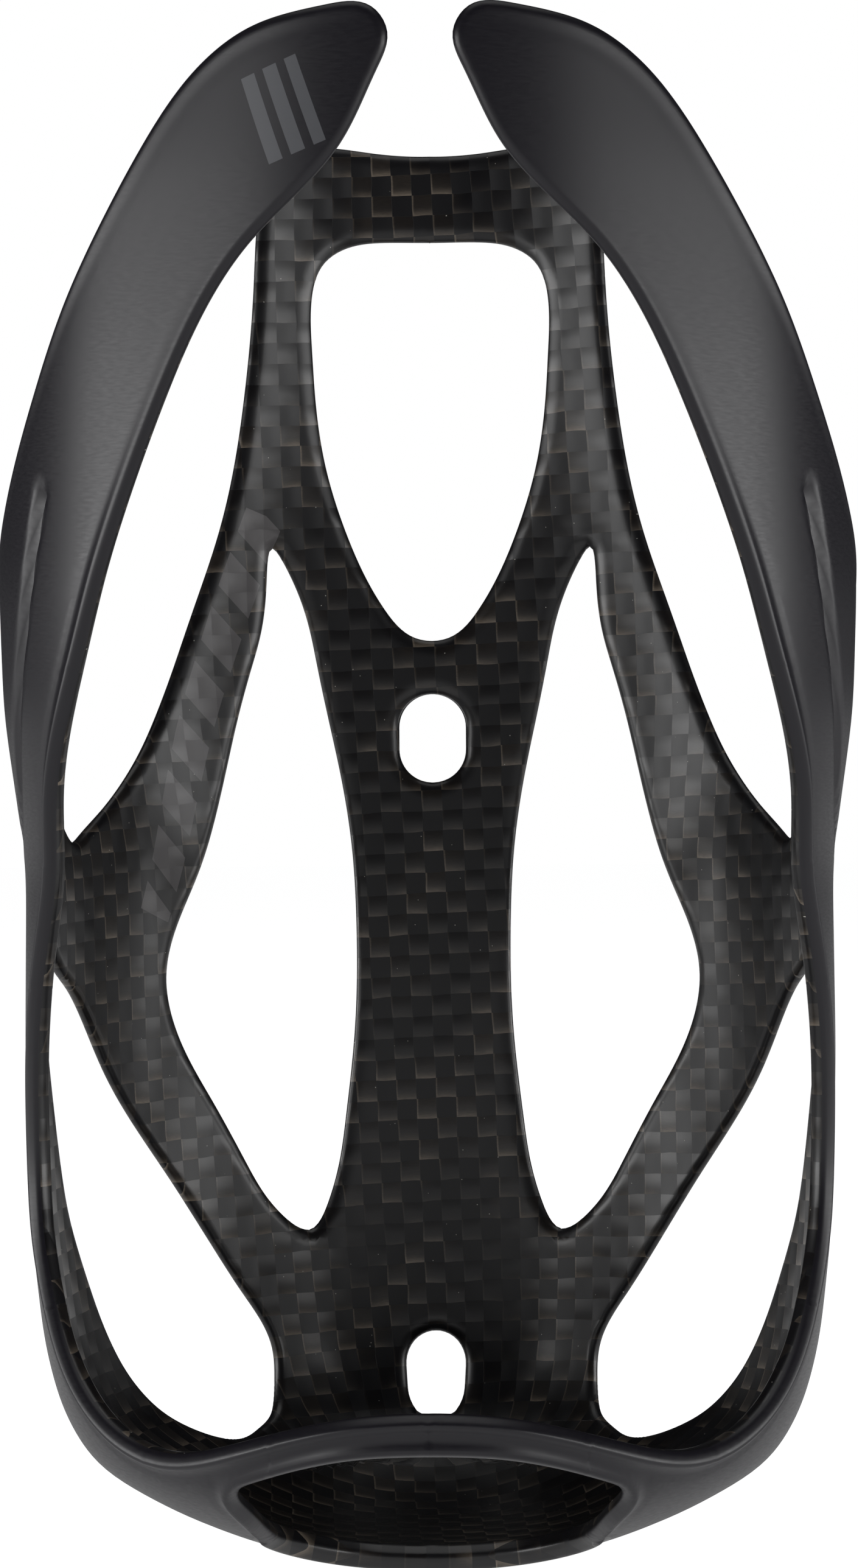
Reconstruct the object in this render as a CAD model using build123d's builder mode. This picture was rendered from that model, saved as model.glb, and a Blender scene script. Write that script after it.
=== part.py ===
from build123d import *
from math import atan2, cos, radians, sin
import os

# Water bottle cage, one cured carbon moulding cut into the sections it is laid up from.
# Frame: +Z up along the bottle, +X to the right of someone facing the open front, which
# looks along -Y. The origin is midway between the two bolt slots, on the mounting face.

os.makedirs("parts", exist_ok=True)

# ---- Driving dimensions, in millimetres -------------------------------------------------
bolt_spacing = 64.0
slot_width = 6.7
slot_length = 8.9
bottle_radius = 36.6
wall = 1.4
pad_height = 0.8
pad_width = 12.6
pad_margin = 4.2
wing_height = 94.0
toe_drop = 13.2
tip_gap = 6.4
hinge_gap = 0.3
lip_reach = 47.0

# ---- Worked out from them ---------------------------------------------------------------
outer_radius = bottle_radius + wall
skin_radius = bottle_radius + wall / 2
axis_depth = outer_radius + pad_height
upper_slot = bolt_spacing / 2
lower_slot = -bolt_spacing / 2
floor_level = lower_slot - toe_drop
reach = 2 * outer_radius


def level(height):
    """Move a height drawn on the 64 mm pattern to where the present sizes put it."""
    if height > 32:
        return upper_slot + (height - 32) * (wing_height - upper_slot) / 62
    if height < -32:
        return lower_slot + (height + 32) * toe_drop / 13.2
    return height * bolt_spacing / 64


# ---- The bottle-hugging skin --------------------------------------------------------------
# Level rings of the outside: height, half width past the plain radius, and how far the ring
# draws in from the back and from the front. The sides swell at the hips of the wings and the
# rings close into a dished toe below the lower slot.
rings = [
    (98, 0.2, 0.0, 0.0),
    (89, 0.4, 0.0, 0.0),
    (80, 0.8, 0.0, 0.0),
    (71, 1.2, 0.0, 0.0),
    (62, 1.5, 0.0, 0.0),
    (53, 1.8, 0.0, 0.0),
    (44, 1.8, 0.0, 0.0),
    (35, 1.4, 0.0, 0.0),
    (27, 0.4, 0.0, 0.0),
    (19, -0.6, 0.0, 0.0),
    (10, -0.5, 0.0, 0.0),
    (2, -0.4, 0.0, 0.0),
    (-6, -0.6, 0.0, 0.0),
    (-15, -0.9, 0.0, 0.0),
    (-24, -2.0, 0.0, 0.2),
    (-30, -3.5, 0.2, 0.9),
    (-35, -6.2, 1.3, 3.8),
    (-39, -12.6, 3.8, 10.5),
    (-42, -18.6, 7.8, 19.5),
    (-44, -23.5, 12.0, 29.0),
    (-45.0, -27.5, 16.0, 34.0),
]


def view(look):
    """Plane through the bottle axis, facing outwards at an angle from the back to the left."""
    out = (-sin(radians(look)), cos(radians(look)), 0)
    along = (-cos(radians(look)), -sin(radians(look)), 0)
    return Plane(origin=(0, -axis_depth, 0), x_dir=along, z_dir=out)


def ring_at(height):
    """Half width, half depth and middle of the skin's own ring at a drawn height."""
    for upper, lower in zip(rings, rings[1:]):
        if height >= lower[0]:
            break
    share = (height - lower[0]) / (upper[0] - lower[0])
    swell, back, front = (b + share * (a - b) for a, b in zip(upper[1:], lower[1:]))
    return skin_radius + swell, skin_radius - (back + front) / 2, (front - back) / 2


def drawn(points, look=0):
    """Turn (angle from the back, height) on the skin into points of the view plane."""
    flat = []
    for angle, height in points:
        half_width, half_depth, middle = ring_at(height)
        left = half_width * sin(radians(angle))
        rear = half_depth * cos(radians(angle)) + middle
        flat.append((left * cos(radians(look)) - rear * sin(radians(look)), level(height)))
    return flat


def lean_at(index):
    """How far the skin's outward normal tips down at a ring; straight down under the last one."""
    above = rings[max(index - 1, 0)]
    below = rings[min(index + 1, len(rings) - 1)]
    lean = atan2(above[1] - below[1], level(above[0]) - level(below[0]))
    return max(lean, 0) if index < len(rings) - 1 else radians(65)


def plug(inset):
    """Solid inside the skin, pulled in everywhere by an inset measured square to the skin."""
    with BuildPart() as solid:
        for index, (height, swell, back, front) in enumerate(rings):
            inward = inset * cos(lean_at(index))
            lift = inset * sin(lean_at(index)) if height < -20 else 0
            half_width = outer_radius + swell - inward
            half_depth = outer_radius - (back + front) / 2 - inward
            middle = -axis_depth + (front - back) / 2
            with BuildSketch(Plane.XY.offset(level(height) + lift)):
                with Locations((0, middle)):
                    Ellipse(half_width, half_depth)
        loft()
    return solid.part


outside = plug(0)
inside = plug(wall)


# ---- Openings, each drawn in the view that faces it ----------------------------------------
upper_window = [
    (12.5, 81.8), (17.2, 79.2), (18.2, 74), (17.5, 66.5), (15.9, 59.5), (12.6, 52.5), (7, 45), (0, 41.9),
]
side_window = [
    (24.0, 51.0), (25.0, 47), (27.6, 39), (32.9, 28.5), (40.0, 17.7), (45.6, 8.5), (43.2, 2.8), (36.6, -4.1),
    (31.0, -10.1), (25.3, -15.3), (20.3, -17.1), (17.1, -14.3), (14.1, -6), (12.6, 2), (12.2, 14),
    (13.6, 26), (17.3, 39.5), (21.8, 49.0),
]
lower_window = [
    (82.5, 13.0), (77, 10.6), (70.3, 7.9), (59.1, -0.7), (44.4, -12.1), (32.7, -23.2), (28.8, -28.8),
    (31.2, -32.8), (37, -36.4), (45, -38.1), (52.5, -37.0), (60, -32.0), (68, -21.9), (75.5, -11.6),
    (81.5, 0.4), (84.2, 8.3),
]
strut_edge = [
    (27.2, 88), (27.5, 77.6), (28.7, 66.5), (32.6, 52.9), (38.9, 42), (47.8, 31.2), (57.8, 25.4), (65.4, 22.7),
    (68.9, 22.0), (71.6, 23.0), (74.5, 28.5), (79.5, 37.5), (91, 46.8), (102, 52.6), (109.3, 57.4), (116.4, 63.1),
    (124.4, 70.5), (132.5, 77.3), (138.5, 85.5),
]
wing_inner = [(174.2, 88.6), (169.3, 82.2), (157, 74.1), (144.8, 61.6), (134.7, 47.5), (124.5, 33.2), (120, 26)]
rail_edge = [
    (128, 36), (120.4, 27.5), (114.4, 18), (107.3, 8.5), (103.3, -2), (103, -11), (107.5, -19),
    (115, -26.2), (123.0, -30.0), (130, -30.3),
]
loop_rim = [(120.5, -27.5), (125, -30.2), (131, -31.4), (139, -31.2), (151, -29.6), (165, -27.4), (180, -26.5)]
wing_crown = [
    (175.9, 91.6), (174, 94), (167, 94.3), (156, 92.7), (146.2, 88.4), (138.8, 82.6), (132, 76.9), (122, 70),
]
toe_arch = [(145.4, -35.8), (147, -34.4), (151.5, -33.2), (159, -31.9), (168.5, -30.7), (180, -30.3)]


def side_cutter(points, look, start=0.0, corners=()):
    """Cutter through the left of the skin: a smooth edge, closed by straight lines."""
    edge = drawn(points, look)
    with BuildPart() as cutter:
        with BuildSketch(view(look).offset(start)):
            with BuildLine():
                if corners:
                    Spline(*edge)
                    Polyline(edge[-1], *corners, edge[0])
                else:
                    Spline(*edge, periodic=True)
            make_face()
        extrude(amount=reach)
    return cutter.part


def middle_cutter(look, *runs, start=0.0):
    """Cutter over the middle, alike left and right: smooth and straight runs of half an outline."""
    with BuildPart() as cutter:
        with BuildSketch(view(look).offset(start)):
            with BuildLine():
                for run in runs:
                    if len(run) > 2:
                        Spline(*run)
                for before, after in zip(runs, runs[1:] + runs[:1]):
                    if before[-1] != after[0]:
                        Line(before[-1], after[0])
            make_face()
            mirror(about=Plane.YZ)
        extrude(amount=reach)
    return cutter.part


sky = level(94) + 20
ground = floor_level - 20
half_gap = tip_gap / 2

with BuildPart() as lip_plan:
    with BuildSketch(Plane.XY.offset(ground)):
        with BuildLine():
            Spline((-18.6, -72.0), (-16.6, -62.0), (-12.0, -52.0), (-6.0, -lip_reach - 0.8), (0, -lip_reach))
            Polyline((0, -lip_reach), (0, -3 * outer_radius), (-18.6, -3 * outer_radius), (-18.6, -72.0))
        make_face()
        mirror(about=Plane.YZ)
    extrude(amount=sky - ground)

arch = drawn(toe_arch, 180)
with BuildPart() as toe_hole:
    add(middle_cutter(180, arch, [(0, ground)], [(arch[0][0], ground)]))
    add(lip_plan.part, mode=Mode.INTERSECT)

left_cutters = [
    side_cutter(side_window, 0),
    side_cutter(lower_window, 50),
    side_cutter(
        strut_edge,
        90,
        corners=[(drawn([(138.5, 0)], 90)[0][0], sky), (drawn([(27.2, 0)], 90)[0][0], sky)],
    ),
    side_cutter(
        rail_edge,
        90,
        start=skin_radius * sin(radians(45)),
        corners=[(reach, level(-30.3)), (reach, level(36))],
    ),
]
half_window = drawn(upper_window)
bridge_top = drawn([(-33, 78), (-30.8, 85.5), (-26.5, 90.3), (-20.5, 91.7), (-12, 91.1), (0, 90.5)])
inner = [(-half_gap, level(91.6))] + drawn(wing_inner, 180)
crown = drawn(wing_crown, 180)
rim = drawn(loop_rim, 180)
middle_cutters = [
    middle_cutter(0, [(-u, v) for u, v in half_window], [(0, level(81.8))]),
    middle_cutter(0, bridge_top, [(0, sky)], [(-outer_radius, sky)], [(-outer_radius, bridge_top[0][1])]),
    middle_cutter(180, [(0, sky)], [(-half_gap, sky)], inner, rim),
    middle_cutter(180, crown, [(crown[-1][0], sky)], [(crown[0][0], sky)]),
    toe_hole.part,
]

# ---- The bolt slots, with the flat seats behind them -----------------------------------------
slots = []
pads = []
for height in (upper_slot, lower_slot):
    with BuildPart() as slot:
        with BuildSketch(view(0)):
            with Locations((0, height)):
                SlotOverall(slot_length, slot_width, rotation=90)
        extrude(amount=reach)
    slots.append(slot.part)
    with BuildPart() as pad:
        with BuildSketch(Plane.XZ):
            with Locations((0, height)):
                RectangleRounded(pad_width, slot_length + 2 * pad_margin, pad_width / 3)
        extrude(amount=2 * pad_height)
        add(outside, mode=Mode.SUBTRACT)
        add(slot.part, mode=Mode.SUBTRACT)
    pads.append(pad.part)

with BuildPart() as skin:
    add(outside)
    add(inside, mode=Mode.SUBTRACT)


# ---- Sections of the layup ---------------------------------------------------------------------
def wedge(first, last, low, high):
    """Slice of space about the bottle axis, between two angles and two drawn heights."""
    span = (first, (first + last) / 2, last)
    corners = [(-2 * reach * sin(radians(a)), 2 * reach * cos(radians(a)) - axis_depth) for a in span]
    with BuildPart() as space:
        with BuildSketch(Plane.XY.offset(level(low))):
            with BuildLine():
                Polyline((0, -axis_depth), *corners, close=True)
            make_face()
        extrude(amount=level(high) - level(low))
    return space.part


def block(left, right, front, back, low, high):
    """Upright box of space: X from left to right, depth from back to front, drawn heights."""
    with BuildPart() as space:
        with BuildSketch(Plane.XY.offset(level(low))):
            with Locations(((left + right) / 2, -(front + back) / 2)):
                Rectangle(right - left, front - back)
        extrude(amount=level(high) - level(low))
    return space.part


def section(spaces, cutters):
    """Part of the skin that lies in the given spaces, less the openings that reach it."""
    with BuildPart() as piece:
        for space in spaces:
            add(space)
        add(skin.part, mode=Mode.INTERSECT)
        for cutter in cutters:
            add(cutter, mode=Mode.SUBTRACT)
    return piece.part


def opposite(piece):
    return mirror(piece, about=Plane.YZ)


def keep(piece, name):
    piece.label = name
    export_step(piece, f"parts/{name}.step")
    print(name, round(piece.volume, 1), len(piece.solids()))


side_hole, lower_hole, outer_edge, front_edge = left_cutters
window_hole, bridge_edge, front_hole, crown_edge, toe_opening = middle_cutters
# Half widths of the toe floor and the front band, and the height where the floor begins. The
# wing root is cut level at 20 and upright at 68 degrees, its hinge gap left open all along.
floor_half_width = 16.0
band_half_width = 13.5
floor_top = -40
gap = hinge_gap / 2 * 64 / bolt_spacing

left_sections = {
    "leg": section(
        [wedge(3, 45, 49.8, 78)],
        [side_hole, outer_edge, window_hole],
    ),
    "upper_strut": section(
        [wedge(23.8, 58, 9, 49.8)],
        [side_hole, outer_edge],
    ),
    "lower_strut": section(
        [wedge(23.8, 75.5, 0, 9), wedge(23.8, 65, -12, 0), wedge(23.8, 55, -18, -12)],
        [side_hole, lower_hole],
    ),
    "shoulder": section(
        [wedge(58, 130, 9, 20 - gap), wedge(58, 67.9, 20 - gap, 27)],
        [lower_hole, outer_edge, front_edge],
    ),
    "rail": section(
        [wedge(75.5, 128, 0, 9), wedge(65, 128, -12, 0), wedge(55, 128, -20, -12)],
        [lower_hole, front_edge],
    ),
    "cup_wall": section(
        [
            wedge(38, 180, floor_top, -20),
            block(-2 * reach, -floor_half_width, 2 * reach, -reach, -60, floor_top),
        ],
        [
            block(-band_half_width, 0, 2 * reach, 60, -60, 0),
            lower_hole,
            front_edge,
            front_hole,
            toe_opening,
        ],
    ),
    "wing": section(
        [wedge(68.3, 180, 20 + gap, 98)],
        [outer_edge, front_edge, front_hole, crown_edge],
    ),
}
for name, piece in left_sections.items():
    keep(piece, f"left_{name}")
    keep(opposite(piece), f"right_{name}")

keep(
    section(
        [wedge(-45, 45, 78, 98)],
        [window_hole, bridge_edge, outer_edge, opposite(outer_edge)],
    ),
    "top_bridge",
)
keep(
    section(
        [wedge(-23.8, 23.8, -18, 49.8)],
        [window_hole, side_hole, opposite(side_hole), slots[0]],
    ),
    "spine",
)
keep(
    section(
        [wedge(-38, 38, floor_top, -18)],
        [lower_hole, opposite(lower_hole), slots[1]],
    ),
    "spine_foot",
)
keep(
    section(
        [block(-floor_half_width, floor_half_width, 60, -reach, -60, floor_top)],
        [toe_opening],
    ),
    "toe_floor",
)
keep(
    section(
        [block(-band_half_width, band_half_width, 2 * reach, 60, -60, -20)],
        [toe_opening, front_hole],
    ),
    "front_band",
)
for name, pad in zip(("upper_mount_pad", "lower_mount_pad"), pads):
    keep(pad, name)
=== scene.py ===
import bpy
import math
import numpy as np
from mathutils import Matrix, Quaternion, Vector
from mathutils.geometry import delaunay_2d_cdt
from mathutils.kdtree import KDTree


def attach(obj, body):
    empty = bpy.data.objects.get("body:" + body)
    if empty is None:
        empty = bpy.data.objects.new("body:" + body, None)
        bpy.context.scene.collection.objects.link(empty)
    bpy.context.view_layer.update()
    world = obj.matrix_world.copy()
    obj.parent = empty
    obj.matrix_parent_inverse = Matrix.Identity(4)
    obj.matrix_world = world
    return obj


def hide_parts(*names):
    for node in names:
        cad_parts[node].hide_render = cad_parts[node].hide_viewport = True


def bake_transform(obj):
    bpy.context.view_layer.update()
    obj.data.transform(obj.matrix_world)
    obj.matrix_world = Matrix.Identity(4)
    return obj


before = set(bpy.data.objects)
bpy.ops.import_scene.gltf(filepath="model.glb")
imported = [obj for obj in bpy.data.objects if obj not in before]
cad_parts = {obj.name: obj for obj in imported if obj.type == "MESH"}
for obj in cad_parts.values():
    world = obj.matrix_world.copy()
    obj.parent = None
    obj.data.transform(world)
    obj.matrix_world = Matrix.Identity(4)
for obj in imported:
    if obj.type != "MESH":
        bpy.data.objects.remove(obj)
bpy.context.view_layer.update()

# ---- The bottle-hugging skin -------------------------------------------------------------------
# The whole cage is one thin carbon laminate, pressed and cured in a mould around a 73 mm bottle.
# Level rings give its outside, and half the wall inside them lies the middle of the laminate, in
# mm here. Flat places on it are mm round from the back (DEGREE for each degree) and the height.
AXIS_DEPTH = 38.8
OUTER_RADIUS = 38.0
HALF_WALL = 0.7
SKIN_RADIUS = 37.3
DEGREE = 0.651
# Each ring has its height, its gain in half width, and how far its back and front draw in.
rings = np.array([
    (110, -3.6, 0.0, 0.0), (95, -1.3, 0.0, 0.0), (82, 0.4, 0.0, 0.0), (66, 1.2, 0.0, 0.0),
    (46, 1.8, 0.0, 0.0), (34, 1.4, 0.0, 0.0), (27, 0.4, 0.0, 0.0), (20, -0.6, 0.0, 0.0),
    (2, -0.4, 0.0, 0.0), (-14, -0.9, 0.0, 0.0),
    (-24, -2.0, 0.0, 0.2), (-30, -3.5, 0.2, 0.9), (-35, -6.2, 1.3, 3.8), (-39, -12.6, 3.8, 10.5),
    (-42, -18.6, 7.8, 19.5), (-44, -23.5, 12.0, 29.0), (-45, -29.0, 17.0, 37.0), (-45.3, -38.0, 27.0, 49.0),
])
profile = np.column_stack([
    rings[:, 0], OUTER_RADIUS + rings[:, 1], OUTER_RADIUS - (rings[:, 2] + rings[:, 3]) / 2,
    (rings[:, 3] - rings[:, 2]) / 2,
])
# The straight runs between rings are softened over 2.2 mm, and past the middle of the dish the
# profile goes on mirrored, so that the dish stays level there.
SAMPLE = 0.2
SOFTENING = 2.2
MARGIN = 40
steps = np.hypot(np.diff(profile[:, 0]), np.diff(profile[:, 1]))
along = np.concatenate([[0], np.cumsum(steps)])
fine = np.arange(0, along[-1], SAMPLE)
profile = np.column_stack([np.interp(fine, along, column) for column in profile.T])
mirrored = profile[-2:-2 * MARGIN:-1] * (1, -1, -1, 1)
extended = np.vstack([profile, mirrored])
weights = np.exp(-0.5 * (np.arange(-MARGIN, MARGIN + 1) * SAMPLE / SOFTENING) ** 2)
weights /= weights.sum()
padded = np.vstack([
    np.repeat(extended[:1], MARGIN, 0), extended, np.repeat(extended[-1:], MARGIN, 0),
])
smoothed = np.column_stack([np.convolve(column, weights, "valid") for column in padded.T])
profile = smoothed[:len(profile)]
lean = np.arctan2(-np.gradient(profile[:, 1]), -np.gradient(profile[:, 0]))
height_at, width_at, depth_at, shift_at = (
    profile[:, 0] + HALF_WALL * np.sin(lean), profile[:, 1] - HALF_WALL * np.cos(lean),
    profile[:, 2] - HALF_WALL * np.cos(lean), profile[:, 3],
)
low_enough = np.argmax(height_at < -36)
last_ring = np.argmax(np.minimum(width_at, depth_at) < 0.4)


def on_side(flat):
    """Points of the laminate's middle from (mm round from the back, height)."""
    place = np.interp(-flat[:, 1], -height_at[:last_ring], np.arange(last_ring))
    index = np.arange(last_ring)
    wide, deep, shift = (
        np.interp(place, index, column[:last_ring]) for column in (width_at, depth_at, shift_at)
    )
    turn = flat[:, 0] / SKIN_RADIUS
    return np.column_stack([-wide * np.sin(turn), deep * np.cos(turn) + shift - AXIS_DEPTH, flat[:, 1]])


def on_floor(flat):
    """Points of the laminate's middle in the dish, from their (X, Y)."""
    low = np.full(len(flat), float(low_enough))
    high = np.full(len(flat), float(last_ring))
    index = np.arange(len(width_at))
    for _ in range(30):
        place = (low + high) / 2
        wide, deep, shift = (np.interp(place, index, column) for column in (width_at, depth_at, shift_at))
        inside = (flat[:, 0] / wide) ** 2 + ((flat[:, 1] + AXIS_DEPTH - shift) / deep) ** 2 < 1
        low = np.where(inside, place, low)
        high = np.where(inside, high, place)
    return np.column_stack([flat, np.interp((low + high) / 2, index, height_at)])


def directions(surface, flat):
    """Both slopes of the laminate's middle and its outward normal."""
    reach = 0.15
    across = (surface(flat + (reach, 0)) - surface(flat - (reach, 0))) / (2 * reach)
    upward = (surface(flat + (0, reach)) - surface(flat - (0, reach))) / (2 * reach)
    normal = np.cross(across, upward)
    normal /= np.linalg.norm(normal, axis=1)[:, None]
    if surface is on_floor:
        normal *= -np.sign(normal[:, 2:])
    return across, upward, normal


def smooth_path(points, closed=False):
    """Smooth curve through points, sampled every 0.1 mm."""
    knots = np.array(points, float)
    if closed:
        knots = np.vstack([knots[-4:], knots, knots[:5]])
    spans = np.hypot(*np.diff(knots, axis=0).T)
    at = np.concatenate([[0], np.cumsum(spans)])
    count = len(knots)
    matrix = np.eye(count)
    right = np.zeros((count, 2))
    for i in range(1, count - 1):
        before, after = spans[i - 1], spans[i]
        matrix[i, i - 1:i + 2] = before, 2 * (before + after), after
        right[i] = 6 * ((knots[i + 1] - knots[i]) / after - (knots[i] - knots[i - 1]) / before)
    bend = np.linalg.solve(matrix, right)
    start, end = (at[4], at[-5]) if closed else (at[0], at[-1])
    samples = np.linspace(start, end, max(8, int((end - start) / 0.1)))
    k = np.clip(np.searchsorted(at, samples) - 1, 0, count - 2)
    h = spans[k][:, None]
    a = ((at[k + 1] - samples))[:, None] / h
    b = 1 - a
    path = a * knots[k] + b * knots[k + 1] + ((a ** 3 - a) * bend[k] + (b ** 3 - b) * bend[k + 1]) * h * h / 6
    return path[:-1] if closed else path


def spaced(path, gap, closed=False):
    """The same path with points an even distance apart."""
    if closed:
        path = np.vstack([path, path[:1]])
    at = np.concatenate([[0], np.cumsum(np.hypot(*np.diff(path, axis=0).T))])
    count = max(2, int(round(at[-1] / gap))) + 1
    even = np.linspace(0, at[-1], count)
    out = np.column_stack([np.interp(even, at, column) for column in path.T])
    return out[:-1] if closed else out


def within(points, loop):
    """Which points lie inside a closed loop."""
    found = np.zeros(len(points), bool)
    x, y = points.T
    for (ax, ay), (bx, by) in zip(loop, np.roll(loop, -1, axis=0)):
        if ay == by:
            continue
        crosses = (ay > y) != (by > y)
        found ^= crosses & (x < (bx - ax) * (y - ay) / (by - ay) + ax)
    return found


# ---- The outlines of the laminate ----------------------------------------------------------------
# The mould and the trimming after it give the laminate these edges: round the bridge, the wings
# and the toe, round the window and the four side holes, and round a slot for each frame boss.
# They are for the left half, as (degrees round from the back, height in mm).
outer_edge = [
    (-18, 91.3), (-9, 90.9), (0, 90.5), (9, 90.8), (18, 91.2), (22.6, 90.4), (25.8, 88.2), (27.2, 84),
    (27.5, 77.6), (28.7, 66.5), (32.6, 52.9), (38.9, 42), (47.8, 31.2), (57.8, 25.4), (65.4, 22.7),
    (68.9, 22.0), (71.6, 23), (74.5, 28.5), (79.5, 37.5), (91, 46.8), (102, 52.6), (109.3, 57.4),
    (116.4, 63.1), (124.4, 70.5), (132.5, 77.3), (138.8, 82.6), (146.2, 88.4), (156, 92.7),
    (167, 94.3), (173.4, 94.0), (175.6, 91.8), (174.2, 88.6),
    (169.3, 82.2), (157, 74.1), (144.8, 61.6), (134.7, 47.5), (124.2, 33.2), (117.6, 25.6), (113.9, 18),
    (107.3, 8.5), (103.3, -2), (103, -11), (107.5, -19), (114.5, -25.5), (122, -29.3), (131, -31.2),
    (139, -31.2), (151, -29.6), (165, -27.4), (180, -26.5), (195, -27.4), (209, -29.6),
]
window_edge = [
    (0, 81.8), (7, 81.8), (12.3, 81.3), (16.3, 79.6), (18.2, 75.6), (18.0, 70.8), (17.5, 66.5),
    (15.9, 59.5), (12.6, 52.5), (7, 45), (2.5, 42.1),
]
window_edge += [(-a, h) for a, h in window_edge[:0:-1]]
side_edge = [
    (24.0, 51.0), (25.0, 47), (27.6, 39), (32.9, 28.5), (40.0, 17.7), (45.6, 8.5), (43.2, 2.8), (36.6, -4.1),
    (31.0, -10.1), (25.3, -15.3), (20.3, -17.1), (17.1, -14.3), (14.1, -6), (12.6, 2), (12.2, 14),
    (13.6, 26), (17.3, 39.5), (21.8, 49.0),
]
lower_edge = [
    (82.5, 13.0), (77, 10.6), (70.3, 7.9), (59.1, -0.7), (44.4, -12.1), (32.7, -23.2), (28.6, -28.8),
    (29.4, -31.8), (31.9, -34.5), (37.5, -36.1), (45, -36.9), (52, -36.1), (60, -31.8),
    (68, -21.9), (75.5, -11.6), (81.5, 0.4), (84.2, 8.3),
]
toe_edge = [
    (208, -33.0), (201, -31.9), (191.5, -30.7), (180, -30.3), (168.5, -30.7), (159, -31.9), (151.5, -33.2),
    (147, -34.4), (145.2, -35.8), (144.4, -37.4), (142.6, -38.8), (140.3, -40), (134, -41.5),
]
# The wall turns into the dish of the toe at this height, as far round as the toe hole's edge.
FLOOR_JOINT = -40.0
JOINT_END = 140.3
BOSS_HEIGHT = 32
SLOT_RADIUS = 3.35
SLOT_STRAIGHT = 1.1


def rounded_slot(middle):
    """Outline of a bolt slot: two half rounds and the short straights between them."""
    turn = np.linspace(0, math.pi, 25)[:-1]
    rise = middle + SLOT_STRAIGHT + SLOT_RADIUS * np.sin(turn)
    top = np.column_stack([SLOT_RADIUS * np.cos(turn), rise])
    return np.vstack([top, (0, 2 * middle) - top])


scale = (DEGREE, 1)
loops = {
    "outer": smooth_path(np.array(outer_edge) * scale),
    "window": smooth_path(np.array(window_edge) * scale, closed=True),
    "side": smooth_path(np.array(side_edge) * scale, closed=True),
    "lower": smooth_path(np.array(lower_edge) * scale, closed=True),
    "upper_slot": rounded_slot(BOSS_HEIGHT),
    "lower_slot": rounded_slot(-BOSS_HEIGHT),
}
toe = smooth_path(np.array(toe_edge) * scale)


# ---- The layup of the left half -------------------------------------------------------------------
# The laminate is laid up from overlapping sections of carbon sheet. One fine net of triangles
# covers it: rows of points follow every outline, closer together near it, then comes a plain
# grid, and the lines where two sections meet are kept as edges, so that it can be cut there.
ROWS = (0.07, 0.2, 0.38, 0.58, 0.8, 1.05, 1.35, 1.7, 2.1, 2.6)
RIM_STEP = 0.55
JOINT_STEP = 0.1


def net(surface, paths, domain, joints, grid, border=None):
    """Net over one flat map of the laminate: returns its points and triangles."""
    rims = [spaced(path, RIM_STEP, closed) for path, closed in paths]
    near = KDTree(sum(len(path) for path, closed in paths))
    solid = surface(np.vstack([path for path, closed in paths]))
    for i, point in enumerate(solid):
        near.insert(point, i)
    near.balance()

    def gap(flat):
        return np.array([near.find(point)[2] for point in surface(flat)])

    points, edges = [], []

    def chain(path, closed):
        start = sum(len(part) for part in points)
        points.append(path)
        edges.extend((start + i, start + i + 1) for i in range(len(path) - 1))
        if closed:
            edges.append((start + len(path) - 1, start))

    for path, (source, closed) in zip(rims, paths):
        chain(path, closed)
    if border is not None:
        chain(border, False)
    rows = []
    for path, (source, closed) in zip(rims, paths):
        across, upward, normal = directions(surface, path)
        run = np.roll(path, -1, 0) - np.roll(path, 1, 0)
        if not closed:
            run[0], run[-1] = path[1] - path[0], path[-1] - path[-2]
        tangent = across * run[:, :1] + upward * run[:, 1:]
        tangent /= np.linalg.norm(tangent, axis=1)[:, None]
        side = np.cross(normal, tangent)
        gram = np.stack([
            (across * across).sum(1), (across * upward).sum(1), (upward * upward).sum(1),
        ], 1)
        a, b = (side * across).sum(1), (side * upward).sum(1)
        stretch = gram[:, 0] * gram[:, 2] - gram[:, 1] ** 2
        inward = np.stack([
            (a * gram[:, 2] - b * gram[:, 1]) / stretch, (b * gram[:, 0] - a * gram[:, 1]) / stretch,
        ], 1)
        if not domain(path + 0.3 * inward).mean() > 0.5:
            inward = -inward
        for away in ROWS:
            row = path + away * inward
            row = row[domain(row)]
            if len(row):
                row = row[gap(row) > 0.94 * away]
                rows.append(row)
    kept = np.vstack(rows)
    if joints:
        lines = []
        for line in joints:
            path = spaced(line, JOINT_STEP)
            far = gap(path) > 3.0
            take = np.ones(len(path), bool)
            take[far & (np.arange(len(path)) % 7 != 0)] = False
            take[[0, -1]] = True
            path = path[take & (domain(path) | (gap(path) < 0.3))]
            if len(path) > 1:
                breaks = np.nonzero(np.hypot(*np.diff(path, axis=0).T) > 0.9)[0] + 1
                for part in np.split(path, breaks):
                    if len(part) > 1:
                        chain(part, False)
                        lines.append(part)
        if border is not None:
            lines.append(border)
        if lines:
            close = KDTree(sum(len(part) for part in lines))
            for i, point in enumerate(np.vstack(lines)):
                close.insert((*point, 0), i)
            close.balance()
            clear = np.array([close.find((*point, 0))[2] for point in kept])
            kept = kept[clear > 0.06]
            clear = np.array([close.find((*point, 0))[2] for point in grid])
            grid = grid[clear > 0.35]
    grid = grid[domain(grid)]
    grid = grid[gap(grid) > ROWS[-1] + 0.3]
    points += [kept, grid]
    everything = np.vstack(points)
    found, _, faces, _, _, _ = delaunay_2d_cdt([Vector(p) for p in everything], edges, [], 0, 1e-5)
    flat = np.array(found)
    tris = np.array([f for f in faces if len(f) == 3])
    centre = flat[tris].mean(1)
    inside = domain(centre)
    corner = flat[tris]
    area = np.abs(np.cross(corner[:, 1] - corner[:, 0], corner[:, 2] - corner[:, 0]))
    return flat, tris[inside & (area > 1e-7)]


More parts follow.
